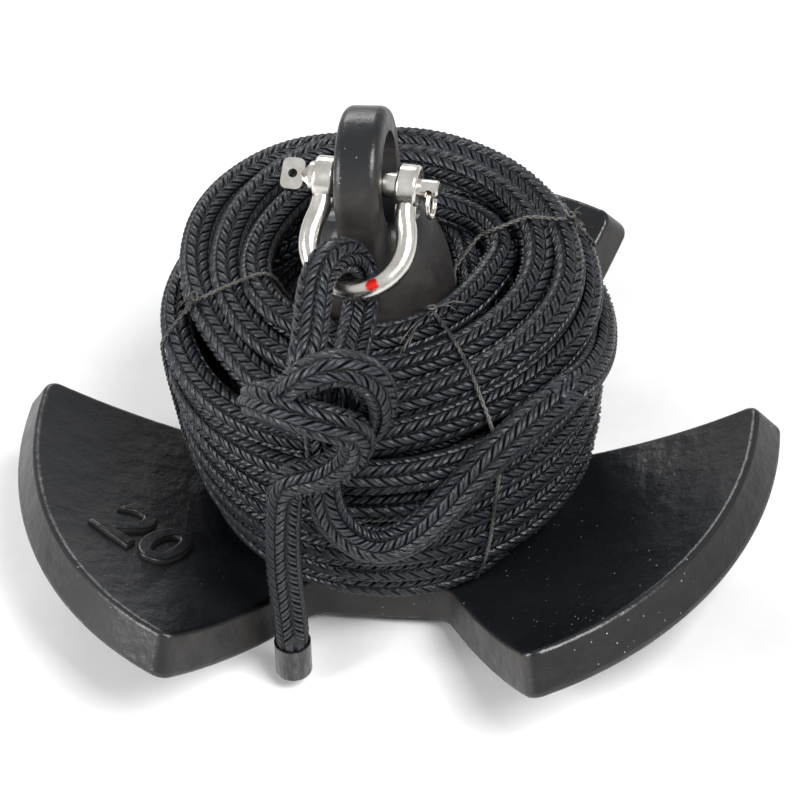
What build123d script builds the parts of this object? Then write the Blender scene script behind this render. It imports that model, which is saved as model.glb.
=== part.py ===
# River anchor: one cast-iron mushroom casting with three cupped flukes and an eye, a stainless
# bow shackle hung in the eye, and a coil of braided rope dropped over the shank and tied with twine.
# Millimetres. The origin is on the shank's axis, in the plane of the flat foot; +Z is up.
# The back fluke points to +Y, and the eye's hole runs along X.
import os
from math import asin, atan, cos, degrees, hypot, pi, radians, sin, sqrt, tan

from build123d import *

# Casting: a spherical dish cut into three flukes
rim_radius = 144.0  # upper edge of the rim, measured from the axis
dish_radius = 250.0  # sphere of the dish's upper face
wall = 18.0
foot_radius = 46.0  # the flat foot under the hub
fluke_count = 3
gap_hub_reach = 57.5  # from the axis to the hub wall, at the rim's height
gap_hub_half = 31.0  # half the gap between two flukes, beside the hub wall
gap_rim_reach = 128.0
gap_rim_half = 66.0  # half the gap out at the rim
gap_corner_round = 13.0
gap_draft = 10.0  # degrees: the gap narrows downwards, as the sand mould needs
fluke_corner_round = 6.0
upper_edge_round = 2.2
under_edge_round = 2.5

# Casting: shank, shoulder and eye
shank_radius = 29.0
shank_flare = 11.0  # round between the shank and the dish
shoulder_start = 121.0  # the straight shank ends here
shoulder_bend = (23.4, 150.0)  # radius and height where the shoulder turns over
shoulder_top = 163.0
shoulder_flat = 9.0
eye_height = 174.5  # centre of the eye's hole
eye_radius = 26.0
eye_hole_radius = 17.0
eye_width = 16.8
eye_leg_foot = 122.0  # the eye's legs run down inside the shoulder to here
eye_edge_round = 3.6

# Shackle: its pin lies in the front of the eye, and its bow leans out on the rope
pin_centre = Vector(2.3, -10.2, 179.8)
shackle_yaw = -4.4
shackle_roll = 2.6
shackle_lean = -56.0
wire = 7.9  # diameter of the bow's bar
jaw_centre = 15.4  # from the pin's middle to the middle of each ear
ear_radius = 8.2
ear_thickness = 8.0
ear_edge_round = 1.4
ear_drop = 6.5  # straight bar below the pin before it bows out
bow_half_width = 17.9
bow_depth = 40.6  # from the pin to the bar's centre at the bottom of the bow
pin_radius = 4.6
pin_end_radius = 3.4
pin_end_reach = 26.6
pin_fit = 0.05
collar_radius = 5.7
collar_thickness = 2.2
tab_start = 23.6
tab_end = 32.0
tab_width = 12.0
tab_thickness = 3.7
tab_hole_radius = 1.7
ring_hole_reach = 23.2  # cross hole near the pin's end
ring_hole_radius = 1.8
ring_radius = 6.0  # centre line of the split ring's two turns
ring_wire_radius = 0.45
ring_sag = 0.18  # the ring hangs on the lower side of its hole

# Rope
rope = 12.9
coil_bore = 31.6
turn_crest = 2.4  # how far each turn stands out of the coil's wall
coil_clearance = 0.4  # between the coil and the dish
# centre of each turn of the coil's wall, as radius and height, from the dish up
wall_turns = [(72.5, 33.0), (76.5, 45.8), (79.0, 58.6), (80.0, 71.4), (80.4, 84.2), (80.4, 97.0)]
# the top turns lie tilted and set back on the wall, highest at the back
top_setback = 10.0
top_tilt = 5.2
top_level = 120.0
# centre of each top turn from that tilted axis and level, outermost first
top_turns = [(80.0, -10.0), (72.3, 0.6), (60.4, 5.2), (46.6, 6.0)]
cap_inner_foot = (48.0, -30.0)  # the tilted part runs down into the wall's core to here
cap_outer_foot = (64.0, -35.0)

# The rope's free run: over the bow, round the knot, down in a slack loop and back to the coil
knot_centre = (-8.5, -93.5, 143.0)
knot_half_width = 21.0
knot_half_depth = 14.0
knot_rim_round = 11.0
knot_gap = 0.5  # the knot swings with the shackle, clear of the rope that stays
bight_route = [
    (-11.5, -87.0, 156.5), (-10.4, -76.0, 161.0), (-10.8, -64.0, 166.0), (-10.8, -53.2, 170.2),
    (-7.2, -42.0, 171.5), (-1.8, -32.8, 164.6), (1.2, -32.7, 154.2), (1.0, -38.9, 145.2),
    (-0.4, -49.5, 139.6), (-1.0, -60.5, 138.2), (-1.8, -72.0, 138.8), (-3.0, -83.0, 140.6),
]
slack_route = [
    (-8.0, -93.9, 122.2), (-9.8, -93.7, 104.0), (-6.0, -93.8, 86.0), (6.5, -94.6, 75.3),
    (21.3, -92.7, 79.5), (34.8, -87.9, 92.0), (46.8, -79.4, 104.5), (59.5, -67.3, 111.5),
    (70.5, -53.8, 113.5),
]
tail_route = [
    (-21.5, -96.5, 127.5), (-23.2, -96.5, 106.0), (-25.6, -96.2, 85.0), (-27.6, -95.8, 64.0),
    (-28.2, -95.6, 43.0), (-28.7, -95.9, 24.0), (-29.9, -96.3, 7.2),
]
tip_length = 15.5
tip_wall = 0.65
tip_room = 0.05

# Three ties of thin twine, each a loop round the coil's section at one angle about the shank
twine = 1.6
twine_bite = 0.5  # how far the twine sinks into the turns it binds
tie_angles = {"tie_left": 196.0, "tie_front": 302.0, "tie_back": 38.0}
# radius and height of each tie's points down the inside of the coil and out under it
tie_inside = [
    (32.2, 101.0), (31.6, 82.0), (31.6, 63.0), (31.1, 44.0), (33.9, 21.9), (52.0, 21.0), (66.0, 24.7),
]


def corner_radii(points, closed=False):
    """Largest arc that the two runs at each corner allow."""
    path = [Vector(*point) for point in points]
    count = len(path)
    corners = range(count) if closed else range(1, count - 1)
    radii = []
    for i in corners:
        before = path[i] - path[i - 1]
        after = path[(i + 1) % count] - path[i]
        half_turn = radians(before.get_angle(after)) / 2
        radii.append(0.45 * min(before.length, after.length) / tan(half_turn))
    return radii


def report_cord(name, volume, path, radii, section_radius):
    """Print a cord's length and radii, and its volume against section times length."""
    expected = pi * section_radius**2 * path.length
    print(f"{name}: length {path.length:.1f}, volume ratio {volume / expected:.4f}")
    print("  radii", [round(radius, 1) for radius in radii])


os.makedirs("parts", exist_ok=True)

# The dish's sphere is set by its foot, which is flat at height 0
under_radius = dish_radius + wall
dish_centre = sqrt(under_radius**2 - foot_radius**2)
rim_slope = asin(rim_radius / dish_radius)
rim_foot_radius = rim_radius + wall * sin(rim_slope)


def sphere_height(radius, sphere):
    """Height of one of the dish's faces at a distance from the axis."""
    return dish_centre - sqrt(sphere**2 - radius**2)


dish_floor = dish_centre - dish_radius
rim_height = sphere_height(rim_radius, dish_radius)
rim_foot_height = sphere_height(rim_foot_radius, under_radius)
gap_slope = (gap_rim_half - gap_hub_half) / (gap_rim_reach - gap_hub_reach)
gap_far_reach = 200.0
gap_far_half = gap_hub_half + gap_slope * (gap_far_reach - gap_hub_reach)


def from_axis(shape):
    """Distance of a shape's centre from the shank's axis."""
    return hypot(shape.center().X, shape.center().Y)


with BuildPart() as dish:
    with BuildSketch(Plane.XZ):
        with BuildLine():
            middle = rim_radius / 2
            middle_height = sphere_height(middle, dish_radius)
            ThreePointArc((0, dish_floor), (middle, middle_height), (rim_radius, rim_height))
            Line((rim_radius, rim_height), (rim_foot_radius, rim_foot_height))
            middle = (rim_foot_radius + foot_radius) / 2
            middle_height = sphere_height(middle, under_radius)
            ThreePointArc(
                (rim_foot_radius, rim_foot_height), (middle, middle_height), (foot_radius, 0)
            )
            Line((foot_radius, 0), (0, 0))
            Line((0, 0), (0, dish_floor))
        make_face()
    revolve(axis=Axis.Z)
    # Gaps between the flukes, open at the rim
    with BuildSketch(Plane.XY.offset(rim_height)):
        with PolarLocations(0, fluke_count, start_angle=-90):
            Polygon(
                (gap_hub_reach, -gap_hub_half),
                (gap_far_reach, -gap_far_half),
                (gap_far_reach, gap_far_half),
                (gap_hub_reach, gap_hub_half),
                align=None,
            )
    extrude(amount=-rim_height - 5, taper=gap_draft, mode=Mode.SUBTRACT)
    upright = dish.edges().filter_by(lambda edge: abs((edge @ 1 - edge @ 0).Z) > wall / 2)
    fillet(upright.filter_by(lambda edge: from_axis(edge) < rim_radius / 2), gap_corner_round)
    upright = dish.edges().filter_by(lambda edge: abs((edge @ 1 - edge @ 0).Z) > wall / 2)
    fillet(upright.filter_by(lambda edge: from_axis(edge) > 0.95 * rim_radius), fluke_corner_round)
    upper_face = dish.faces().sort_by(SortBy.AREA)[-2:].sort_by(Axis.Z)[-1]
    fillet(upper_face.edges(), upper_edge_round)
    under_face = dish.faces().sort_by(SortBy.AREA)[-2:].sort_by(Axis.Z)[0]
    under_edges = under_face.edges().filter_by(lambda edge: from_axis(edge) > foot_radius)
    fillet(under_edges, under_edge_round)

with BuildPart() as eye:
    with BuildSketch(Plane.YZ):
        with Locations((0, eye_height)):
            Circle(eye_radius)
        with Locations((0, (eye_height + eye_leg_foot) / 2)):
            Rectangle(2 * eye_radius, eye_height - eye_leg_foot)
    extrude(amount=eye_width / 2, both=True)
    side_edges = eye.faces().filter_by(Axis.X).edges()
    fillet(side_edges.filter_by(lambda edge: edge.center().Z > eye_leg_foot + 1), eye_edge_round)

with BuildPart() as anchor_casting:
    add(dish.part)
    with BuildSketch(Plane.XZ):
        with BuildLine():
            Line((0, dish_floor / 2), (shank_radius, dish_floor / 2))
            Line((shank_radius, dish_floor / 2), (shank_radius, shoulder_start))
            TangentArc((shank_radius, shoulder_start), shoulder_bend, tangent=(0, 1))
            Spline(
                shoulder_bend,
                (shoulder_flat, shoulder_top),
                tangents=[(-0.4, 1), (-1, 0)],
                tangent_scalars=[0.8, 1.0],
            )
            Line((shoulder_flat, shoulder_top), (0, shoulder_top))
            Line((0, shoulder_top), (0, dish_floor / 2))
        make_face()
    revolve(axis=Axis.Z)
    flare_height = sphere_height(shank_radius, dish_radius)
    shank_foot = anchor_casting.edges().filter_by_position(
        Axis.Z, flare_height - 0.1, flare_height + 0.1
    )
    fillet(shank_foot, shank_flare)
    add(eye.part)
    with BuildSketch(Plane.YZ):
        with Locations((0, eye_height)):
            Circle(eye_hole_radius)
    extrude(amount=2 * shank_radius, both=True, mode=Mode.SUBTRACT)
anchor_casting.part.label = "anchor_casting"
export_step(anchor_casting.part, "parts/anchor_casting.step")
print("casting volume", anchor_casting.part.volume, anchor_casting.part.is_valid)

# The shackle's own directions: along the pin, from the pin to the bow, and out of the bow's plane
pin_axis = Vector(1, 0, 0).rotate(Axis.Y, shackle_roll).rotate(Axis.Z, shackle_yaw)
hanging = Vector(0, 0, -1).rotate(Axis.Y, shackle_roll).rotate(Axis.Z, shackle_yaw)
bow_axis = hanging.rotate(Axis((0, 0, 0), pin_axis), shackle_lean)
bow_normal = pin_axis.cross(bow_axis * -1)
shackle_plane = Plane(origin=pin_centre, x_dir=pin_axis, z_dir=bow_normal)
print("pin axis", pin_axis, "bow axis", bow_axis)

pin_face = Plane(origin=pin_centre, x_dir=pin_axis, z_dir=bow_normal)


def across_pin(reach):
    """Plane square to the pin, at a distance along it."""
    return Plane(origin=pin_centre + pin_axis * reach, x_dir=bow_normal, z_dir=pin_axis)


# Shackle bow: an S-bend from each ear into the round bow
swell = bow_half_width - jaw_centre
bow_start = bow_depth - bow_half_width  # the round part begins this far below the pin
bend_drop = bow_start - ear_drop
bend_turn = 2 * atan(swell / bend_drop)
bend_radius = bend_drop / (2 * sin(bend_turn))

with BuildPart() as shackle_bow:
    with BuildLine(shackle_plane) as bow_path:
        waist = (bow_half_width + jaw_centre) / 2
        waist_drop = (bow_start + ear_drop) / 2
        turn = degrees(bend_turn)
        Line((-jaw_centre, 0), (-jaw_centre, -ear_drop))
        JernArc((-jaw_centre, -ear_drop), (0, -1), bend_radius, -turn)
        outward = (-sin(bend_turn), -cos(bend_turn))
        JernArc((-waist, -waist_drop), outward, bend_radius, turn)
        JernArc((-bow_half_width, -bow_start), (0, -1), bow_half_width, 180)
        JernArc((bow_half_width, -bow_start), (0, 1), bend_radius, turn)
        inward = (-sin(bend_turn), cos(bend_turn))
        JernArc((waist, -waist_drop), inward, bend_radius, -turn)
        Line((jaw_centre, -ear_drop), (jaw_centre, 0))
    with BuildSketch(Plane(origin=bow_path.line @ 0, z_dir=bow_path.line % 0)):
        Circle(wire / 2)
    sweep()
    with BuildSketch(pin_face):
        with Locations((-jaw_centre, 0), (jaw_centre, 0)):
            RectangleRounded(ear_thickness, 2 * ear_radius, ear_edge_round)
        with Locations((0, -ear_radius)):
            Rectangle(4 * jaw_centre, 2 * ear_radius, mode=Mode.SUBTRACT)
    revolve(axis=Axis(pin_centre, pin_axis))
    # The left ear takes the pin's full size, the right ear its end
    for side, radius in ((-1, pin_radius), (1, pin_end_radius)):
        with BuildSketch(across_pin(side * jaw_centre)):
            Circle(radius + pin_fit)
        extrude(amount=ear_thickness, both=True, mode=Mode.SUBTRACT)
shackle_bow.part.label = "shackle_bow"
export_step(shackle_bow.part, "parts/shackle_bow.step")
print("bow volume", shackle_bow.part.volume, shackle_bow.part.is_valid)

# Shackle pin: collar and flat tab on the left, plain shaft, thinner end with a cross hole
ear_outside = jaw_centre + ear_thickness / 2
ear_inside = jaw_centre - ear_thickness / 2
level_back = pin_axis.cross(Vector(0, 0, 1)).normalized()
ring_hole = pin_centre + pin_axis * ring_hole_reach

with BuildPart() as shackle_pin:
    with BuildSketch(pin_face):
        with BuildLine():
            Polyline(
                (-tab_start - 1.0, 0),
                (-tab_start - 1.0, tab_thickness / 2),
                (-ear_outside - collar_thickness - 0.8, collar_radius - 1.6),
                (-ear_outside - collar_thickness, collar_radius - 0.5),
                (-ear_outside - collar_thickness + 0.5, collar_radius),
                (-ear_outside, collar_radius),
                (-ear_outside, pin_radius),
                (ear_inside - pin_fit, pin_radius),
                (ear_inside - pin_fit, pin_end_radius),
                (pin_end_reach - 0.8, pin_end_radius),
                (pin_end_reach, pin_end_radius - 0.8),
                (pin_end_reach, 0),
                close=True,
            )
        make_face()
    revolve(axis=Axis(pin_centre, pin_axis))
    with BuildSketch(pin_face):
        with Locations((-(tab_start + tab_end) / 2, 0)):
            RectangleRounded(tab_end - tab_start, tab_width, 2.6)
        with Locations((-tab_end + 4.2, 0)):
            Circle(tab_hole_radius, mode=Mode.SUBTRACT)
    extrude(amount=tab_thickness / 2, both=True)
    with BuildSketch(Plane(origin=ring_hole, x_dir=pin_axis, z_dir=level_back)):
        Circle(ring_hole_radius)
    extrude(amount=2 * pin_end_radius, both=True, mode=Mode.SUBTRACT)
shackle_pin.part.label = "shackle_pin"
export_step(shackle_pin.part, "parts/shackle_pin.step")
print("pin volume", shackle_pin.part.volume, shackle_pin.part.is_valid, "hole", ring_hole, level_back)

# Split ring: two turns of wire side by side, hanging through the cross hole
ring_centre = ring_hole - Vector(0, 0, ring_radius + ring_sag)
ring_normal = level_back.cross(Vector(0, 0, 1)).normalized()
ring_top = ring_centre + Vector(0, 0, ring_radius)

with BuildPart() as split_ring:
    with BuildSketch(Plane(origin=ring_top, x_dir=ring_normal, z_dir=level_back)):
        with GridLocations(1.8 * ring_wire_radius, 0, 2, 1):
            Circle(ring_wire_radius)
    revolve(axis=Axis(ring_centre, ring_normal))
split_ring.part.label = "split_ring"
export_step(split_ring.part, "parts/split_ring.step")
print("ring volume", split_ring.part.volume, split_ring.part.is_valid)


def crests_and_valleys(turns, first_valley, last_valley):
    """Outermost point of each turn in a row, and the points between them."""
    valleys = [first_valley]
    for turn, following in zip(turns, turns[1:]):
        along = (following - turn).normalized()
        outward = Vector(along.Y, -along.X)
        valleys.append((turn + following) / 2 + outward * (rope / 2 - turn_crest))
    valleys.append(last_valley)
    crests = []
    for turn, before, after in zip(turns, valleys, valleys[1:]):
        along = (after - before).normalized()
        crests.append(turn + Vector(along.Y, -along.X) * rope / 2)
    return crests, valleys


# Rope coil: the outer shape of the wound rope, with each turn that shows standing out of it
wall_centres = [Vector(*turn) for turn in wall_turns]
dish_side = (wall_centres[0] - Vector(0, dish_centre)).normalized()
under_touch = wall_centres[0] + dish_side * rope / 2
wall_top = wall_centres[-1] + Vector(0, rope / 2)
wall_crests, wall_valleys = crests_and_valleys(wall_centres, under_touch, wall_top)
top_centres = [Vector(*turn) for turn in top_turns]
top_foot = top_centres[0] - Vector(0, rope / 2)
top_bore = top_centres[-1] - Vector(rope / 2, 0)
top_crests, top_valleys = crests_and_valleys(top_centres, top_foot, top_bore)
tilt = radians(top_tilt)
top_plane = Plane(
    origin=(0, top_setback, top_level), x_dir=(1, 0, 0), z_dir=(0, -cos(tilt), -sin(tilt))
)

# The lowest inner turn lies on the shank's flare
inner_turn = Vector(coil_bore + rope / 2, 24.6)
inner_slant = Vector(-1, -1).normalized()
under_sphere = dish_radius - coil_clearance
under_start = 43.0
under_middle = (under_start + under_touch.X) / 2

with BuildPart() as rope_coil:
    with BuildSketch(Plane.XZ):
        with BuildLine():
            Line(wall_top, (coil_bore, wall_top.Y))
            Line((coil_bore, wall_top.Y), (coil_bore, inner_turn.Y))
            ThreePointArc(
                (coil_bore, inner_turn.Y),
                inner_turn + inner_slant * rope / 2,
                inner_turn - Vector(0, rope / 2),
            )
            Line(
                inner_turn - Vector(0, rope / 2),
                (under_start, sphere_height(under_start, under_sphere)),
            )
            ThreePointArc(
                (under_start, sphere_height(under_start, under_sphere)),
                (under_middle, sphere_height(under_middle, under_sphere)),
                under_touch,
            )
            for before, crest, after in zip(wall_valleys, wall_crests, wall_valleys[1:]):
                ThreePointArc(before, crest, after)
        make_face()
    revolve(axis=Axis.Z)
    with BuildSketch(top_plane):
        with BuildLine():
            for before, crest, after in zip(top_valleys, top_crests, top_valleys[1:]):
                ThreePointArc(before, crest, after)
            Polyline(top_bore, cap_inner_foot, cap_outer_foot, top_foot)
        make_face()
    revolve(axis=Axis(top_plane.origin, top_plane.y_dir))
rope_coil.part.label = "rope_coil"
export_step(rope_coil.part, "parts/rope_coil.step")
print("coil volume", rope_coil.part.volume, rope_coil.part.is_valid)

# Knot: the outer shape of the knotted rope, flattened against the coil
def knot_outline(room):
    """Half the knot's outline in its own plane, from pole to pole, grown by some room."""
    half_width = knot_half_width + room
    half_depth = knot_half_depth + room
    rim_round = knot_rim_round + room
    rim_centre = half_width - rim_round
    # The cap's arc meets the rim's arc at a tangent
    cap_radius = (rim_centre**2 + half_depth**2 - rim_round**2) / (2 * (half_depth - rim_round))
    cap_drop = cap_radius - half_depth
    cap_turn = atan(rim_centre / cap_drop)
    meet = (cap_radius * sin(cap_turn), cap_radius * cos(cap_turn) - cap_drop)
    half_meet = (cap_radius * sin(cap_turn / 2), cap_radius * cos(cap_turn / 2) - cap_drop)
    with BuildLine(Plane.XY.offset(knot_centre[2]).shift_origin(knot_centre)) as outline:
        ThreePointArc((0, half_depth), half_meet, meet)
        ThreePointArc(meet, (half_width, 0), (meet[0], -meet[1]))
        ThreePointArc((meet[0], -meet[1]), (half_meet[0], -half_meet[1]), (0, -half_depth))
        Line((0, -half_depth), (0, half_depth))
    return outline.line


knot_axis = Axis(knot_centre, (0, 1, 0))
with BuildPart() as rope_knot:
    with BuildSketch(Plane.XY.offset(knot_centre[2])):
        add(knot_outline(0))
        make_face()
    revolve(axis=knot_axis)
rope_knot.part.label = "rope_knot"
export_step(rope_knot.part, "parts/rope_knot.step")
print("knot volume", rope_knot.part.volume, rope_knot.part.is_valid)

# The rope's free run, as three plain tubes that end where they enter the knot or meet the coil
with BuildPart() as knot_room:
    with BuildSketch(Plane.XY.offset(knot_centre[2])):
        add(knot_outline(knot_gap))
        make_face()
    revolve(axis=knot_axis)

free_runs = {"rope_bight": bight_route, "rope_slack": slack_route, "rope_tail": tail_route}
for name, route in free_runs.items():
    with BuildPart() as tube:
        with BuildLine() as path:
            FilletPolyline(*route, radius=corner_radii(route))
        centre_line = path.wires()[0]
        with BuildSketch(Plane(origin=centre_line @ 0, z_dir=centre_line % 0)):
            Circle(rope / 2)
        sweep()
        report_cord(name, tube.part.volume, centre_line, corner_radii(route), rope / 2)
        if name == "rope_bight":
            add(rope_knot.part, mode=Mode.SUBTRACT)
        else:
            add(knot_room.part, mode=Mode.SUBTRACT)
    tube.part.label = name
    export_step(tube.part, f"parts/{name}.step")
    print("  solids", len(tube.part.solids()), "valid", tube.part.is_valid)

# Sleeve pressed on the rope's end, which follows the last stretch of the tail
tail_line = centre_line
with BuildPart() as rope_tip_sleeve:
    with BuildLine() as tip_path:
        add(tail_line.trim(1 - tip_length / tail_line.length, 1))
    with BuildSketch(Plane(origin=tail_line @ 1, z_dir=tail_line % 1)):
        Circle(rope / 2 + tip_wall)
        Circle(rope / 2 + tip_room, mode=Mode.SUBTRACT)
    sweep()
rope_tip_sleeve.part.label = "rope_tip_sleeve"
export_step(rope_tip_sleeve.part, "parts/rope_tip_sleeve.step")
print("sleeve volume", rope_tip_sleeve.part.volume, rope_tip_sleeve.part.is_valid)

# Ties: one closed loop of twine each, over every turn that shows and down inside the coil
def lifted(crests, turns):
    """Places of the twine's centre line on a row of turns."""
    return [
        crest + (crest - turn).normalized() * (twine / 2 - twine_bite)
        for crest, turn in zip(crests, turns)
    ]


top_places = lifted(top_crests, top_centres) + lifted([top_bore], top_centres[-1:])


def at_tie(place, along_y):
    """Radius and height, in a tie's upright plane, of a circle about the top's tilted axis."""
    side = top_setback - place.Y * sin(tilt)
    reach = side * along_y + sqrt(place.X**2 - (side * side) * (1 - along_y**2))
    return reach, top_level + place.Y * cos(tilt) + (reach * along_y - side) * tan(tilt)


for name, angle in tie_angles.items():
    along_x = cos(radians(angle))
    along_y = sin(radians(angle))
    section = list(tie_inside)
    section += [(place.X, place.Y) for place in lifted(wall_crests, wall_centres)]
    section += [at_tie(place, along_y) for place in top_places]
    route = [(r * along_x, r * along_y, z) for r, z in section]
    with BuildPart() as tie:
        with BuildLine() as path:
            FilletPolyline(*route, radius=corner_radii(route, closed=True), close=True)
        loop = path.wires()[0]
        with BuildSketch(Plane(origin=loop @ 0, z_dir=loop % 0)):
            Circle(twine / 2)
        sweep()
    tie.part.label = name
    export_step(tie.part, f"parts/{name}.step")
    report_cord(name, tie.part.volume, loop, corner_radii(route, closed=True), twine / 2)
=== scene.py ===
# River anchor with a bow shackle and a tied coil of black braided rope.
# Metres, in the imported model's own frame: origin on the shank's axis in the plane of the foot, +Z up.
import math
import random

import bmesh
import bpy
from mathutils import Matrix, Vector


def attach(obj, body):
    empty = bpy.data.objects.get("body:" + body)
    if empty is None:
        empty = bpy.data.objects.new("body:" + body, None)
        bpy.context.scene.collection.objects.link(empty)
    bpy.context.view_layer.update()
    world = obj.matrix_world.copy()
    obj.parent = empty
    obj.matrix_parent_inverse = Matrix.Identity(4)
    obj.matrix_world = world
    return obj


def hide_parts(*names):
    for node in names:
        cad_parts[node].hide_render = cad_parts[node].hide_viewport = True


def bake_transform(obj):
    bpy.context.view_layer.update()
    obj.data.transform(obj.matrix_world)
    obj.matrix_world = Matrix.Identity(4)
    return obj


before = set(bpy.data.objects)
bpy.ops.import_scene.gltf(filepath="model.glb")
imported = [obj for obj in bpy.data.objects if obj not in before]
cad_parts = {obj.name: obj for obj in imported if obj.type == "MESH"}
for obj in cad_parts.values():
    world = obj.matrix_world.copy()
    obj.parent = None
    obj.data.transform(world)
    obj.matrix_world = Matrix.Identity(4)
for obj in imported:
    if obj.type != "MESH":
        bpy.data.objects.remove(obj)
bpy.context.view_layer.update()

mm = 0.001
rope_diameter = 0.0129
braid_row = 0.0054
twine_diameter = 0.0016
twine_step = 0.0009
twine_lay = 0.0075
yarn_thickness = 0.0009
yarn_orbit = 0.00042
yarn_row = 0.0008
columns = 8
red_dab = (0.0071, -0.0446, 0.1605)


# Shader helpers: small node builders shared by every finish
class Finish:
    def __init__(self, name, roughness=0.5, metallic=0.0):
        self.material = bpy.data.materials.new(name)
        self.material.use_nodes = True
        self.nodes = self.material.node_tree.nodes
        self.links = self.material.node_tree.links
        self.shader = self.nodes["Principled BSDF"]
        self.shader.inputs["Roughness"].default_value = roughness
        self.shader.inputs["Metallic"].default_value = metallic

    def add(self, kind, **settings):
        node = self.nodes.new(kind)
        for name, value in settings.items():
            setattr(node, name, value)
        return node

    def set(self, socket, value):
        if isinstance(value, (int, float, tuple)):
            socket.default_value = value
        else:
            self.links.new(value, socket)

    def math(self, operation, first, second=0.0, third=0.0, clamp=False):
        node = self.add("ShaderNodeMath", operation=operation, use_clamp=clamp)
        for socket, value in zip(node.inputs, (first, second, third)):
            self.set(socket, value)
        return node.outputs[0]

    def place(self, source="Object", scale=(1, 1, 1), turn=(0, 0, 0)):
        coordinates = self.add("ShaderNodeTexCoord").outputs[source]
        mapping = self.add("ShaderNodeMapping")
        mapping.inputs["Scale"].default_value = scale
        mapping.inputs["Rotation"].default_value = turn
        self.links.new(coordinates, mapping.inputs["Vector"])
        return mapping.outputs["Vector"]

    def noise(self, vector, scale, detail=3.0, roughness=0.5):
        node = self.add("ShaderNodeTexNoise")
        self.set(node.inputs["Vector"], vector)
        node.inputs["Scale"].default_value = scale
        node.inputs["Detail"].default_value = detail
        node.inputs["Roughness"].default_value = roughness
        return node.outputs["Fac"]

    def cells(self, vector, scale, feature="F1"):
        node = self.add("ShaderNodeTexVoronoi", feature=feature)
        self.set(node.inputs["Vector"], vector)
        node.inputs["Scale"].default_value = scale
        return node.outputs["Distance"]

    def ramp(self, value, *stops):
        node = self.add("ShaderNodeValToRGB")
        self.set(node.inputs["Fac"], value)
        bands = node.color_ramp.elements
        while len(bands) < len(stops):
            bands.new(0.5)
        for band, (position, colour) in zip(bands, stops):
            band.position = position
            band.color = colour if len(colour) == 4 else (*colour, 1)
        return node.outputs["Color"]

    def grade(self, value, low, high, bottom=0.0, top=1.0):
        node = self.add("ShaderNodeMapRange", clamp=True)
        for name, number in (("From Min", low), ("From Max", high), ("To Min", bottom), ("To Max", top)):
            node.inputs[name].default_value = number
        self.set(node.inputs["Value"], value)
        return node.outputs["Result"]

    def mix(self, factor, first, second, blend="MIX"):
        node = self.add("ShaderNodeMix", data_type="RGBA", blend_type=blend)
        self.set(node.inputs["Factor"], factor)
        for name, value in (("A", first), ("B", second)):
            socket = [s for s in node.inputs if s.name == name and s.type == "RGBA"][0]
            self.set(socket, value if not isinstance(value, tuple) or len(value) == 4 else (*value, 1))
        return [s for s in node.outputs if s.type == "RGBA"][0]

    def bump(self, height, distance, strength=1.0, under=None):
        node = self.add("ShaderNodeBump")
        node.inputs["Distance"].default_value = distance
        node.inputs["Strength"].default_value = strength
        self.set(node.inputs["Height"], height)
        if under is not None:
            self.links.new(under, node.inputs["Normal"])
        return node.outputs["Normal"]

    def finish(self, colour=None, roughness=None, normal=None):
        for name, value in (("Base Color", colour), ("Roughness", roughness), ("Normal", normal)):
            if value is not None:
                self.set(self.shader.inputs[name], value)
        return self.material


# Glossy black coating over cast iron: orange peel on the upper faces, walls painted a lighter brown-grey by
# which way they face (partly dust, partly painted sheen), dust specks and nicks
def coated_iron():
    skin = Finish("coated_iron", roughness=0.3)
    whole = skin.place()
    ripple = skin.noise(whole, 170, 3, 0.55)
    swell = skin.noise(whole, 48, 2, 0.5)
    pits = skin.noise(whole, 520, 2, 0.6)
    patches = skin.noise(whole, 17, 4, 0.6)
    facing = skin.add("ShaderNodeSeparateXYZ")
    skin.links.new(skin.add("ShaderNodeNewGeometry").outputs["Normal"], facing.inputs[0])
    upright = skin.grade(facing.outputs["Z"], 0.3, 0.72)
    specks = skin.grade(skin.cells(whole, 300), 0.05, 0.1, 1.0, 0.0)
    dusty = skin.grade(skin.noise(whole, 12, 3, 0.6), 0.57, 0.66)
    specks = skin.math("MULTIPLY", specks, dusty)
    top = skin.ramp(patches, (0.3, (0.0035, 0.0042, 0.0055)), (0.72, (0.0075, 0.0082, 0.0098)))
    mottle = skin.noise(whole, 60, 5, 0.65)
    # Walls are painted lighter brown-grey than the tops by their facing: partly dust, partly painted sheen
    side = skin.ramp(mottle, (0.32, (0.012, 0.0112, 0.0108)), (0.72, (0.034, 0.031, 0.029)))
    colour = skin.mix(upright, side, top)
    scuffs = skin.grade(skin.noise(skin.place(scale=(1, 1, 2.5)), 95, 6, 0.75), 0.66, 0.74)
    on_walls = skin.math("SUBTRACT", 0.35, skin.math("MULTIPLY", upright, 0.3))
    colour = skin.mix(skin.math("MULTIPLY", scuffs, on_walls), colour, (0.12, 0.115, 0.11))
    colour = skin.mix(specks, colour, (0.5, 0.49, 0.47))
    gloss = skin.grade(patches, 0.3, 0.75, 0.24, 0.36)
    dull = skin.grade(ripple, 0.3, 0.7, 0.4, 0.56)
    rough = skin.math("ADD", skin.math("MULTIPLY", upright, gloss),
                      skin.math("MULTIPLY", skin.math("SUBTRACT", 1.0, upright), dull))
    rough = skin.math("MAXIMUM", rough, skin.math("MULTIPLY", specks, 0.9))
    normal = skin.bump(swell, 0.0016, 0.5)
    normal = skin.bump(ripple, 0.0006, 0.55, normal)
    normal = skin.bump(pits, 0.00016, 0.6, normal)
    skin.shader.inputs["Specular IOR Level"].default_value = 0.35
    return skin.finish(colour, rough, normal)


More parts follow.
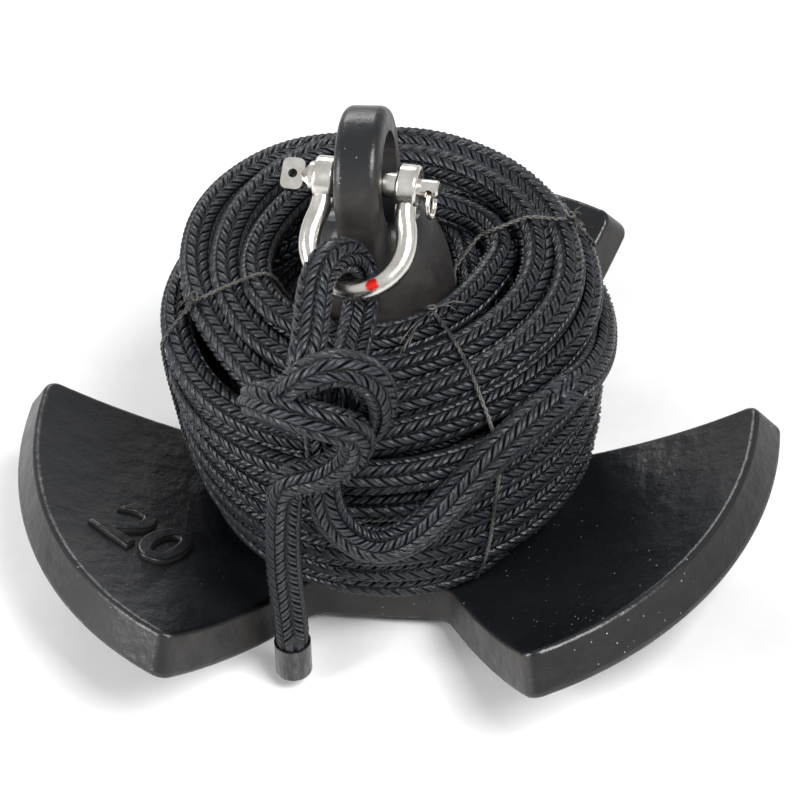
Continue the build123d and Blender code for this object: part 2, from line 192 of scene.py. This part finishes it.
# Polished stainless: soft smudges, fine rubbing marks and one dab of red marking paint on the bow
def polished_stainless():
    metal = Finish("polished_stainless", roughness=0.2, metallic=1.0)
    whole = metal.place()
    smudge = metal.noise(whole, 160, 4, 0.6)
    colour = metal.ramp(smudge, (0.3, (0.52, 0.49, 0.455)), (0.7, (0.7, 0.675, 0.64)))
    rough = metal.grade(smudge, 0.3, 0.75, 0.12, 0.28)
    marks = metal.noise(metal.place(scale=(1, 1, 7)), 900, 2, 0.5)
    normal = metal.bump(marks, 0.00006, 0.6)
    away = metal.add("ShaderNodeVectorMath", operation="DISTANCE")
    metal.links.new(metal.add("ShaderNodeTexCoord").outputs["Object"], away.inputs[0])
    away.inputs[1].default_value = red_dab
    worn = metal.math("MULTIPLY", metal.noise(whole, 900, 3, 0.6), 0.003)
    dab = metal.grade(metal.math("ADD", away.outputs["Value"], worn), 0.0036, 0.0042, 1.0, 0.0)
    colour = metal.mix(dab, colour, (0.55, 0.02, 0.015))
    rough = metal.math("MAXIMUM", rough, metal.math("MULTIPLY", dab, 0.45))
    return metal.finish(colour, rough, normal)


# Braid of twin yarns, drawn on the rope's own UV map: u once round, v in metres along.
# Eight columns of stitches lean by turns left and right, each column half a stitch past its neighbour.
def braided_rope():
    cord = Finish("braided_rope", roughness=0.45)
    uv = cord.add("ShaderNodeUVMap", uv_map="UVMap").outputs["UV"]
    split = cord.add("ShaderNodeSeparateXYZ")
    cord.links.new(uv, split.inputs[0])
    across = cord.math("MULTIPLY", split.outputs["X"], columns)
    column = cord.math("FLOOR", across)
    inside = cord.math("FRACT", across)
    odd = cord.math("MODULO", column, 2.0)
    mirrored = cord.math("SUBTRACT", 1.0, inside)
    lean = cord.math("ADD", cord.math("MULTIPLY", odd, mirrored),
                     cord.math("MULTIPLY", cord.math("SUBTRACT", 1.0, odd), inside))
    along = cord.math("MULTIPLY", split.outputs["Y"], 1 / braid_row)
    phase = cord.math("ADD", cord.math("ADD", along, lean), cord.math("MULTIPLY", odd, 0.5))
    wave = cord.math("FRACT", phase)
    stitch = cord.math("ABSOLUTE", cord.math("SUBTRACT", wave, 0.5))
    crown = cord.grade(stitch, 0.5, 0.36, 0.0, 1.0)
    twin = cord.grade(stitch, 0.0, 0.09, 0.0, 1.0)
    rim = cord.math("ABSOLUTE", cord.math("SUBTRACT", inside, 0.5))
    edge = cord.grade(rim, 0.5, 0.3, 0.0, 1.0)
    parted = cord.math("ADD", cord.math("MULTIPLY", twin, 0.4), 0.6)
    relief = cord.math("MULTIPLY", cord.math("MULTIPLY", crown, edge), parted)
    slant = cord.add("ShaderNodeCombineXYZ")
    cord.set(slant.inputs[0], cord.math("MULTIPLY", phase, 16.0))
    cord.set(slant.inputs[1], cord.math("MULTIPLY", inside, 1.2))
    cord.set(slant.inputs[2], cord.math("ADD", column, cord.math("MULTIPLY", cord.math("FLOOR", phase), 0.37)))
    fibres = cord.noise(slant.outputs[0], 1.5, 3, 0.6)
    height = cord.math("ADD", relief, cord.math("MULTIPLY", fibres, 0.16))
    worn = cord.noise(cord.place(), 55, 3, 0.6)
    tone = cord.math("MULTIPLY", height, cord.grade(worn, 0.3, 0.7, 0.8, 1.15))
    # Colour follows the stitch relief: painted shade in the gaps between stitches and in the groove between
    # twin yarns, lighter on the stitch crowns
    gap_painted_shade, shade, light = (0.0004, 0.0005, 0.0008), (0.0028, 0.0036, 0.0052), (0.019, 0.0222, 0.0275)
    colour = cord.ramp(tone, (0.15, gap_painted_shade), (0.5, shade), (1.05, light))
    rough = cord.grade(fibres, 0.2, 0.8, 0.2, 0.36)
    normal = cord.bump(height, 0.0009, 1.0)
    cord.shader.inputs["Specular IOR Level"].default_value = 0.3
    return cord.finish(colour, rough, normal)


# Waxed twine of twisted yarns, rubbed pale where it is drawn tight
def waxed_twine():
    thread = Finish("waxed_twine", roughness=0.45)
    uv = thread.add("ShaderNodeUVMap", uv_map="UVMap").outputs["UV"]
    split = thread.add("ShaderNodeSeparateXYZ")
    thread.links.new(uv, split.inputs[0])
    along = thread.math("MULTIPLY", split.outputs["Y"], 1 / 0.0028)
    turn = thread.math("ADD", thread.math("MULTIPLY", split.outputs["X"], 2.0), along)
    strand = thread.math("ABSOLUTE", thread.math("SUBTRACT", thread.math("FRACT", turn), 0.5))
    fuzz = thread.noise(thread.place(), 1100, 3, 0.6)
    pale = thread.grade(thread.noise(thread.place(), 45, 2, 0.6), 0.42, 0.62)
    # Colour follows the twist's relief: painted shade in the grooves of each yarn's twist
    tone = thread.math("ADD", thread.math("MULTIPLY", strand, 1.3), thread.math("MULTIPLY", fuzz, 0.5))
    dark = thread.ramp(tone, (0.2, (0.003, 0.003, 0.0032)), (0.9, (0.035, 0.034, 0.033)))
    light = thread.ramp(tone, (0.2, (0.018, 0.017, 0.016)), (0.9, (0.22, 0.215, 0.2)))
    colour = thread.mix(pale, dark, light)
    rough = thread.grade(fuzz, 0.3, 0.7, 0.35, 0.6)
    normal = thread.bump(strand, 0.0004, 0.9)
    return thread.finish(colour, rough, normal)


# Dark shrunk plastic over the rope's tail, crinkled lengthways
def tip_plastic():
    sleeve = Finish("tip_plastic", roughness=0.22)
    whole = sleeve.place(scale=(1, 1, 0.25))
    streaks = sleeve.noise(whole, 420, 3, 0.6)
    # Colour follows the crinkles: painted sheen on their crests and painted shade in their folds
    colour = sleeve.ramp(streaks, (0.38, (0.008, 0.008, 0.009)), (0.7, (0.07, 0.07, 0.072)))
    rough = sleeve.grade(streaks, 0.3, 0.7, 0.1, 0.34)
    normal = sleeve.bump(streaks, 0.0006, 0.8)
    return sleeve.finish(colour, rough, normal)


iron = coated_iron()
stainless = polished_stainless()
braid = braided_rope()
twine = waxed_twine()
sleeve_plastic = tip_plastic()


# The route of a rope as a smooth NURBS line, and its even points as Blender gives them
def lay_route(name, points, fineness=12):
    line = bpy.data.curves.new(name, "CURVE")
    line.dimensions = "3D"
    line.resolution_u = fineness
    spline = line.splines.new("NURBS")
    spline.points.add(len(points) - 1)
    for point, place in zip(spline.points, points):
        point.co = (*place, 1)
    spline.order_u = 3
    spline.use_endpoint_u = True
    holder = bpy.data.objects.new(name, line)
    bpy.context.scene.collection.objects.link(holder)
    bpy.context.view_layer.update()
    mesh = bpy.data.meshes.new_from_object(holder.evaluated_get(bpy.context.evaluated_depsgraph_get()))
    path = [vertex.co.copy() for vertex in mesh.vertices]
    bpy.data.objects.remove(holder)
    bpy.data.meshes.remove(mesh)
    return path


def walk(path, step):
    """Points a fixed step apart along a path."""
    out = [path[0].copy()]
    need = step
    for start, end in zip(path, path[1:]):
        run = (end - start).length
        while need <= run:
            out.append(start.lerp(end, need / run))
            need += step
        need -= run
    return out


def carry_frames(points):
    """A side and an up direction at each point, carried along without twisting."""
    count = len(points)
    tangents = []
    for index in range(count):
        before = points[max(index - 1, 0)]
        after = points[min(index + 1, count - 1)]
        tangents.append((after - before).normalized())
    side = tangents[0].orthogonal().normalized()
    frames = []
    for tangent in tangents:
        side = (side - tangent * side.dot(tangent)).normalized()
        frames.append((tangent, side, tangent.cross(side)))
    return frames


# A braided tube: rings of points follow the slant of the stitches, so each stitch stands up as a real ridge.
# Between the two shares of its length in hidden, the rope is buried in the coil and has few rings.
# Over flat_end, the last stretch, it is smooth, to fit its sleeve.
def braid_tube(name, path, diameter, rings_per_row=4, per_column=3, flat_end=0.0, hidden=(1, 0)):
    step = braid_row / rings_per_row
    points = walk(path, step)
    frames = carry_frames(points)
    last = len(points) - 1
    around = columns * per_column
    crest = 0.42 * mm
    groove = -0.62 * mm
    dip = 0.05 * mm
    column_edge = -0.45 * mm
    sleeve_fit = -0.2 * mm
    buried_step = 12
    if rings_per_row == 4:
        profile = (groove, crest, dip, crest)
    else:
        profile = (groove, crest * 0.7, crest, dip, crest, crest * 0.7)

    def locate(ring):
        ring = min(max(ring, 0.0), last)
        low = min(int(ring), last - 1)
        share = ring - low
        centre = points[low].lerp(points[low + 1], share)
        side = frames[low][1].lerp(frames[low + 1][1], share)
        up = frames[low][2].lerp(frames[low + 1][2], share)
        return centre, side, up

    def shown(index):
        return not hidden[0] < index / last < hidden[1] or index % buried_step == 0

    chosen = [index for index in range(last + 1) if shown(index)]
    mesh = bmesh.new()
    uv_layer = mesh.loops.layers.uv.new("UVMap")
    rings = []
    for index in chosen:
        ring = []
        fade = (last - index) * step > flat_end
        for spoke in range(around):
            column, inside = divmod(spoke, per_column)
            inside /= per_column
            odd = column % 2
            lean = (1 - inside) if odd else inside
            centre, side, up = locate(index - lean * rings_per_row if fade else index)
            angle = 2 * math.pi * spoke / around
            if not fade:
                raised = sleeve_fit
            elif inside == 0:
                raised = column_edge
            else:
                raised = profile[(index + odd * rings_per_row // 2) % rings_per_row]
            out = side * math.cos(angle) + up * math.sin(angle)
            ring.append(mesh.verts.new(centre + out * (diameter / 2 + raised)))
        rings.append(ring)
    for order in range(len(rings) - 1):
        below, above = rings[order], rings[order + 1]
        for spoke in range(around):
            after = (spoke + 1) % around
            face = mesh.faces.new((below[spoke], below[after], above[after], above[spoke]))
            face.smooth = True
            odd = (spoke // per_column) % 2
            corners = ((order, spoke), (order, spoke + 1), (order + 1, spoke + 1), (order + 1, spoke))
            for loop, (row, number) in zip(face.loops, corners):
                inside = number / per_column - spoke // per_column
                lean = (1 - inside) if odd else inside
                loop[uv_layer].uv = (number / around, (chosen[row] / rings_per_row - lean) * braid_row)
    for ring, centre, flip in ((rings[0], points[0], False), (rings[-1], points[-1], True)):
        hub = mesh.verts.new(centre)
        for spoke in range(around):
            corners = [ring[(spoke + 1) % around], ring[spoke], hub]
            mesh.faces.new(corners[::-1] if flip else corners)
    data = bpy.data.meshes.new(name)
    mesh.to_mesh(data)
    mesh.free()
    piece = bpy.data.objects.new(name, data)
    bpy.context.scene.collection.objects.link(piece)
    piece.data.materials.append(braid)
    return piece


# Camera: in front, a little to the right, looking down at the flukes
def make_camera():
    azimuth = math.radians(12.5)
    elevation = math.radians(43.3)
    roll = math.radians(-6.6)
    distance = 1.008
    aim = Vector((0, 0, 0.060))
    back = Vector((
        math.sin(azimuth) * math.cos(elevation),
        -math.cos(azimuth) * math.cos(elevation),
        math.sin(elevation),
    ))
    right = Vector((math.cos(azimuth), math.sin(azimuth), 0))
    up = back.cross(right)
    turned_right = right * math.cos(roll) + up * math.sin(roll)
    turned_up = up * math.cos(roll) - right * math.sin(roll)
    data = bpy.data.cameras.new("camera")
    data.sensor_width = 36
    data.lens = 113.5
    data.shift_x = 0.009
    data.shift_y = 0.001
    camera = bpy.data.objects.new("camera", data)
    bpy.context.scene.collection.objects.link(camera)
    axes = Matrix((turned_right, turned_up, back)).transposed().to_4x4()
    camera.matrix_world = Matrix.Translation(aim + back * distance) @ axes
    bpy.context.scene.camera = camera


make_camera()

# Stations of the coil's top turns, clockwise from the back, thirty degrees apart: radius and height in mm
top_turns = (
    ((55, 121), (56, 119), (54.5, 119), (40, 121.5), (36, 124), (36, 125), (38.3, 125.5), (39.3, 126),
     (45, 127), (49.5, 127.5), (52.5, 129), (60, 130)),
    ((69, 131), (67.5, 128), (66, 126), (61.5, 124.5), (54, 122.5), (48.8, 120), (49, 118.5), (52.4, 119.5),
     (55.5, 123), (61.5, 126.5), (68.5, 130), (76, 131)),
    ((83, 128), (79, 126), (75.5, 124.5), (75, 123), (68.5, 120), (60, 115), (58.5, 110.5), (65, 115),
     (64.5, 119.5), (74, 124.5), (85, 127), (90, 126)),
    ((89, 117), (86, 115), (83, 113), (81.5, 112.5), (76.5, 112), (69.5, 107), (70.8, 104.5), (76, 104),
     (80.5, 107), (83.5, 110), (83, 112), (79, 108)),
)
# Hidden layers behind the wall: radius, first and last height, number of turns, all in mm
hidden_layers = (
    (38.05, 112.8, 24.6, 7),
    (51.3, 26.5, 104.0, 6),
    (64.5, 92.0, 33.0, 5),
)
# Turns of the outer wall from the flukes up: radius, height, and how far each sags in front, in mm
wall_turns = (
    (72.8, 33.0, 2.5),
    (76.8, 45.8, 3.0),
    (79.2, 58.6, 3.5),
    (80.2, 71.3, 4.0),
    (80.6, 84.0, 4.0),
    (82.0, 96.6, 4.0),
)
# The last turn lifts off the wall at the right and leaves: angle, radius and height
leaving = ((68, 82, 97.5), (38, 82.5, 98), (12, 84, 99), (-8, 86, 102.5), (-22, 88.5, 108.5))
stations = 12


# The coil's route, from its inner top turn down through the hidden layers and up the wall
def coil_points():
    wander = random.Random(7)
    points = []

    def put(radius, height, degrees, looseness=0.0):
        radius += wander.uniform(-looseness, looseness)
        height += wander.uniform(-looseness, looseness)
        angle = math.radians(degrees)
        points.append(Vector((radius * math.cos(angle), radius * math.sin(angle), height)) * mm)

    degrees = 90
    for turn in top_turns:
        for radius, height in turn:
            put(radius, height, degrees, 0.3)
            degrees -= 360 / stations
    for radius, height in ((67, 108), (52, 110)):
        put(radius, height, degrees)
        degrees -= 360 / stations
    for radius, first, last, turns in hidden_layers:
        steps = turns * stations
        for index in range(steps + 1):
            put(radius, first + (last - first) * index / steps, degrees, 0.15)
            degrees -= 360 / stations
    for low, high in zip(wall_turns, wall_turns[1:]):
        for station in range(stations):
            share = station / stations
            radius, height, sag = (a + (b - a) * share for a, b in zip(low, high))
            in_front = max(0.0, -math.sin(math.radians(degrees))) ** 3
            put(radius, height - sag * in_front, degrees, 0.5)
            degrees -= 360 / stations
    while degrees % 360 > 75:
        put(wall_turns[-1][0], wall_turns[-1][1], degrees, 0.4)
        degrees -= 360 / stations
    for angle, radius, height in leaving:
        put(radius, height, angle)
    points.extend(Vector(place) * mm for place in working_end[:2])
    return points


# The working end's route in mm: out of the coil, down the slack loop, up through the knot, over the bow,
# back down into the knot, twice round it and out as the tail
slack_loop = (
    (77.0, -45.2, 113.0), (70.5, -53.8, 113.5), (59.5, -67.3, 111.5), (46.8, -79.4, 104.5),
    (34.8, -87.9, 92.0), (21.3, -92.7, 79.5),
    (6.5, -94.6, 75.3), (-6.0, -93.8, 86.0), (-9.8, -92.6, 101.0), (-8.0, -87.0, 116.0), (-9.0, -84.0, 132.0),
    (-11.0, -84.5, 148.0),
)
over_the_bow = (
    (-11.2, -83.0, 158.5), (-10.4, -76.0, 161.5), (-10.8, -64.0, 166.0), (-10.8, -53.2, 170.2),
    (-7.2, -42.0, 171.5),
    (-1.8, -32.8, 164.6), (1.2, -32.7, 154.2), (1.0, -38.9, 145.2), (-0.4, -49.5, 139.6),
    (-1.0, -60.5, 138.6),
    (-1.0, -72.0, 139.5), (0.0, -81.0, 138.0),
)
knot_turns = (
    (-3.0, -80.0, 127.0), (-12.0, -79.5, 127.0), (-20.5, -86.5, 138.0), (-17.0, -96.0, 152.5),
    (-8.0, -99.5, 166.0),
    (3.5, -97.0, 169.5), (13.5, -93.5, 162.5), (16.5, -91.5, 148.5), (11.0, -87.5, 131.0),
    (-4.0, -78.5, 118.0),
    (-21.0, -77.5, 125.0), (-32.0, -84.0, 139.0), (-26.0, -95.0, 150.0), (-13.0, -103.5, 152.5),
    (0.0, -104.5, 148.5),
    (8.5, -99.5, 140.5), (5.5, -97.0, 127.0), (-6.0, -97.5, 116.5), (-17.0, -96.5, 113.0),
)
tail = (
    (-22.0, -95.5, 107.0), (-24.0, -96.0, 96.0), (-25.6, -96.2, 85.0), (-27.6, -95.8, 64.0),
    (-28.2, -95.6, 43.0),
    (-28.7, -95.9, 24.0), (-29.9, -96.3, 7.3),
)
working_end = slack_loop + over_the_bow + knot_turns + tail


def length_of(path):
    return sum((after - before).length for before, after in zip(path, path[1:]))


coil_path = lay_route("coil_route", coil_points(), 8)
buried_from = (len(top_turns) * stations + 2) / len(coil_points())
buried_to = 1 - ((len(wall_turns) - 1) * stations + 14) / len(coil_points())


def share_of_length(path, share):
    """How far along its length a path has come at a share of its points."""
    whole = length_of(path)
    return length_of(path[:int(share * len(path))]) / whole


coil = braid_tube("braided_coil", coil_path, rope_diameter,
                  hidden=(share_of_length(coil_path, buried_from), share_of_length(coil_path, buried_to)))
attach(coil, "anchor")
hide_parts("rope_coil")

end_path = lay_route("working_end_route", [Vector(point) * mm for point in working_end], 14)
end_rope = braid_tube("working_end", end_path, rope_diameter, rings_per_row=6, flat_end=0.0165)
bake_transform(end_rope)
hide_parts("rope_bight", "rope_knot", "rope_slack", "rope_tail")


# The ties: twine of three twisted yarns drawn tight round the coil, with a knot and two frayed ends
def hull(points):
    """The corners of the tightest loop round a set of flat points."""
    points = sorted(points)

    def half(line):
        chain = []
        for point in line:
            while len(chain) > 1 and ((chain[-1][0] - chain[-2][0]) * (point[1] - chain[-2][1])
                                      - (chain[-1][1] - chain[-2][1]) * (point[0] - chain[-2][0])) <= 0:
                chain.pop()
            chain.append(point)
        return chain[:-1]
    return half(points) + half(points[::-1])


def tie_loop(inner, top, foot, knot_share):
    """A loop round the coil's section. Its angle runs from inner over the top to foot, in degrees."""
    reach = rope_diameter / 2 + twine_diameter * 0.3
    slice_half = 5  # degrees of the coil to each side that the tie binds
    shank_clear = 0.0305
    spacing = 0.009
    cloud = []
    for place in coil_path:
        degrees = math.degrees(math.atan2(place.y, place.x))
        if abs((degrees - top + 180) % 360 - 180) < slice_half:
            radius = math.hypot(place.x, place.y)
            for step in range(20):
                angle = 2 * math.pi * step / 20
                cloud.append((radius + reach * math.cos(angle), place.z + reach * math.sin(angle)))
    corners = hull(cloud)
    spaced = []
    for index, (radius, height) in enumerate(corners):
        after = corners[(index + 1) % len(corners)]
        run = math.hypot(after[0] - radius, after[1] - height)
        pieces = max(1, int(run / spacing))
        for piece in range(pieces):
            share = piece / pieces
            spaced.append((radius + (after[0] - radius) * share, height + (after[1] - height) * share))
    loop = []
    for radius, height in spaced:
        on_top = min(max((height - 0.105) / 0.02, 0), 1)
        degrees = foot + (top - foot) * min(max(height / 0.11, 0), 1)
        degrees += (inner - top) * on_top * min(max((0.072 - radius) / 0.03, 0), 1)
        angle = math.radians(degrees)
        radius = max(radius, shank_clear)
        loop.append(Vector((radius * math.cos(angle), radius * math.sin(angle), height)))

    def outermost(index):
        return loop[index].z * knot_share + (1 - knot_share) * loop[index].xy.length

    begin = max(range(len(loop)), key=outermost)
    return loop[begin:] + loop[:begin + 1]


# One round yarn along a path. With turns and an orbit it winds round the path as one of a twisted few.
def yarn(mesh, uv_layer, path, thickness, turns=0.0, orbit=0.0, phase=0.0, around=5):
    frames = carry_frames(path)
    rings = []
    for index, (centre, (tangent, side, up)) in enumerate(zip(path, frames)):
        share = index / (len(path) - 1)
        spin = 2 * math.pi * (turns * share + phase)
        middle = centre + (side * math.cos(spin) + up * math.sin(spin)) * orbit
        ring = []
        for spoke in range(around):
            angle = 2 * math.pi * spoke / around
            out = side * math.cos(angle) + up * math.sin(angle)
            ring.append(mesh.verts.new(middle + out * thickness / 2))
        rings.append(ring)
    for index in range(len(rings) - 1):
        below, above = rings[index], rings[index + 1]
        for spoke in range(around):
            after = (spoke + 1) % around
            face = mesh.faces.new((below[spoke], below[after], above[after], above[spoke]))
            face.smooth = True
            corners = ((index, spoke), (index, spoke + 1), (index + 1, spoke + 1), (index + 1, spoke))
            for loop, (row, number) in zip(face.loops, corners):
                loop[uv_layer].uv = (number / around, row * yarn_row)
    mesh.faces.new(rings[0][::-1])
    mesh.faces.new(rings[-1])


def twine_piece(name, mesh):
    data = bpy.data.meshes.new(name)
    mesh.to_mesh(data)
    mesh.free()
    piece = bpy.data.objects.new(name, data)
    bpy.context.scene.collection.objects.link(piece)
    piece.data.materials.append(twine)
    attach(piece, "anchor")
    return piece


def tie_ends(name, knot, ends):
    """A small round knot and the two frayed ends that leave it."""
    mesh = bmesh.new()
    uv_layer = mesh.loops.layers.uv.new("UVMap")
    outwards = Vector((knot.x, knot.y, 0)).normalized()
    across = Vector((-outwards.y, outwards.x, 0))
    middle = knot + outwards * 0.0006 + Vector((0, 0, 0.0008))
    curl = []
    for step in range(46):
        angle = 2 * math.pi * step / 15
        curl.append(middle + across * (0.0019 * math.cos(angle)) + outwards * (0.0011 * math.sin(angle))
                    + Vector((0, 0, 0.0016 * math.sin(angle * 0.5))))
    yarn(mesh, uv_layer, curl, 0.0011)
    fray = random.Random(name)
    for (sideways, outward, upward), reach in ends:
        aim = across * sideways + outwards * outward + Vector((0, 0, upward))
        for wisp in range(4):
            lean = Vector((fray.uniform(-1, 1), fray.uniform(-1, 1), fray.uniform(-1, 1))) * 0.22
            line = []
            for step in range(15):
                share = step / 14
                drop = Vector((0, 0, -0.35)) * share * share
                line.append(middle + (aim + lean * share + drop) * reach * share)
            yarn(mesh, uv_layer, line, 0.00055)
    return twine_piece(name + "_ends", mesh)


def make_tie(node, inner, top, foot, ends, knot_share):
    name = node.replace("tie", "twine")
    route = lay_route(name + "_route", tie_loop(inner, top, foot, knot_share), 6)
    path = walk(route, twine_step)
    length = length_of(path)
    mesh = bmesh.new()
    uv_layer = mesh.loops.layers.uv.new("UVMap")
    for strand in range(3):
        yarn(mesh, uv_layer, path, yarn_thickness, turns=length / twine_lay, orbit=yarn_orbit, phase=strand / 3)
    piece = twine_piece(name, mesh)
    knot = tie_ends(name, path[0], ends)
    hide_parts(node)


make_tie("tie_left", 193, 197, 203, (((0.6, 0.5, 0.1), 0.007), ((-0.5, 0.5, -0.3), 0.009)), 0.72)
make_tie("tie_front", 314, 309, 299, (((0.8, 0.35, 0.3), 0.014), ((-0.9, 0.3, 0.1), 0.02)), 0.9)
make_tie("tie_back", 36, 24, 6, (((0.3, 0.5, 0.3), 0.01), ((-0.5, 0.3, 0.1), 0.01)), 0.6)


# Raised weight number on the left fluke, its top towards the hub, wrapped on the dish
dish_radius = 0.250
dish_centre = Vector((0, 0, 0.26402))


def weight_number():
    bpy.ops.object.select_all(action="DESELECT")
    bpy.ops.object.text_add()
    number = bpy.context.object
    number.data.body = "20"
    number.data.size = 0.034
    number.data.align_x = "CENTER"
    number.data.align_y = "CENTER"
    number.data.offset = 0.0003
    number.data.extrude = 0.0011
    number.data.bevel_depth = 0.0009
    number.data.bevel_resolution = 2
    number.data.resolution_u = 8
    bpy.ops.object.convert(target="MESH")
    number = bpy.context.object
    number.name = "weight_number"
    azimuth = math.radians(number_angle)
    for vertex in number.data.vertices:
        across, upward, height = vertex.co
        along = across * math.cos(number_turn) - upward * math.sin(number_turn)
        towards_hub = across * math.sin(number_turn) + upward * math.cos(number_turn)
        reach = number_radius - towards_hub
        turn = azimuth + along / number_radius
        flat = Vector((math.cos(turn), math.sin(turn), 0)) * reach
        drop = math.sqrt(dish_radius ** 2 - reach ** 2)
        place = Vector((flat.x, flat.y, dish_centre.z - drop))
        vertex.co = place + (dish_centre - place).normalized() * (height - 0.0001)
    bpy.ops.object.shade_smooth_by_angle(angle=math.radians(40))
    number.data.materials.append(iron)
    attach(number, "anchor")


number_angle = 214.0
number_radius = 0.111
number_turn = math.radians(32)
weight_number()

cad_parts["rope_tip_sleeve"].data.materials.clear()
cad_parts["rope_tip_sleeve"].data.materials.append(sleeve_plastic)
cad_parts["anchor_casting"].data.materials.clear()
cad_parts["anchor_casting"].data.materials.append(iron)
for node in ("shackle_bow", "shackle_pin", "split_ring"):
    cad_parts[node].data.materials.clear()
    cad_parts[node].data.materials.append(stainless)


# Pale floor under a white sky, and a soft studio
def make_stage():
    bpy.ops.mesh.primitive_plane_add(size=12)
    floor = bpy.context.object
    floor.name = "studio_floor"
    paper = Finish("studio_paper", roughness=0.8)
    grain = paper.noise(paper.place(), 40, 3, 0.6)
    colour = paper.ramp(grain, (0.3, (0.78, 0.78, 0.78)), (0.7, (0.82, 0.82, 0.82)))
    paper.finish(colour)
    floor.data.materials.append(paper.material)


def make_world():
    world = bpy.data.worlds.new("studio")
    bpy.context.scene.world = world
    world.use_nodes = True
    nodes = world.node_tree.nodes
    links = world.node_tree.links
    room = nodes["Background"]
    room.inputs["Color"].default_value = (0.95, 0.97, 1, 1)
    room.inputs["Strength"].default_value = 0.17
    white = nodes.new("ShaderNodeBackground")
    white.inputs["Strength"].default_value = 1
    seen = nodes.new("ShaderNodeLightPath")
    shown = nodes.new("ShaderNodeMath")
    shown.operation = "MAXIMUM"
    mirrored = nodes.new("ShaderNodeMath")
    mirrored.operation = "MAXIMUM"
    links.new(seen.outputs["Is Glossy Ray"], mirrored.inputs[0])
    links.new(seen.outputs["Is Transmission Ray"], mirrored.inputs[1])
    links.new(seen.outputs["Is Camera Ray"], shown.inputs[0])
    links.new(mirrored.outputs[0], shown.inputs[1])
    pick = nodes.new("ShaderNodeMixShader")
    links.new(shown.outputs[0], pick.inputs[0])
    links.new(room.outputs[0], pick.inputs[1])
    links.new(white.outputs[0], pick.inputs[2])
    links.new(pick.outputs[0], nodes["World Output"].inputs["Surface"])


def add_lamp(name, place, size, power):
    data = bpy.data.lights.new(name, "AREA")
    data.shape = "RECTANGLE"
    data.size, data.size_y = size
    data.energy = power
    lamp = bpy.data.objects.new(name, data)
    bpy.context.scene.collection.objects.link(lamp)
    lamp.location = place
    lamp.rotation_euler = (middle - Vector(place)).to_track_quat("-Z", "Y").to_euler()


middle = Vector((0, 0, 0.1))
make_stage()
make_world()
add_lamp("big_softbox", (0.9, -0.6, 1.5), (0.8, 0.8), 42)
add_lamp("left_softbox", (-1.5, -0.9, 1.0), (0.9, 0.9), 46)
add_lamp("back_softbox", (-0.5, 1.6, 1.1), (0.9, 0.5), 12)

bpy.context.scene.view_settings.view_transform = "Standard"
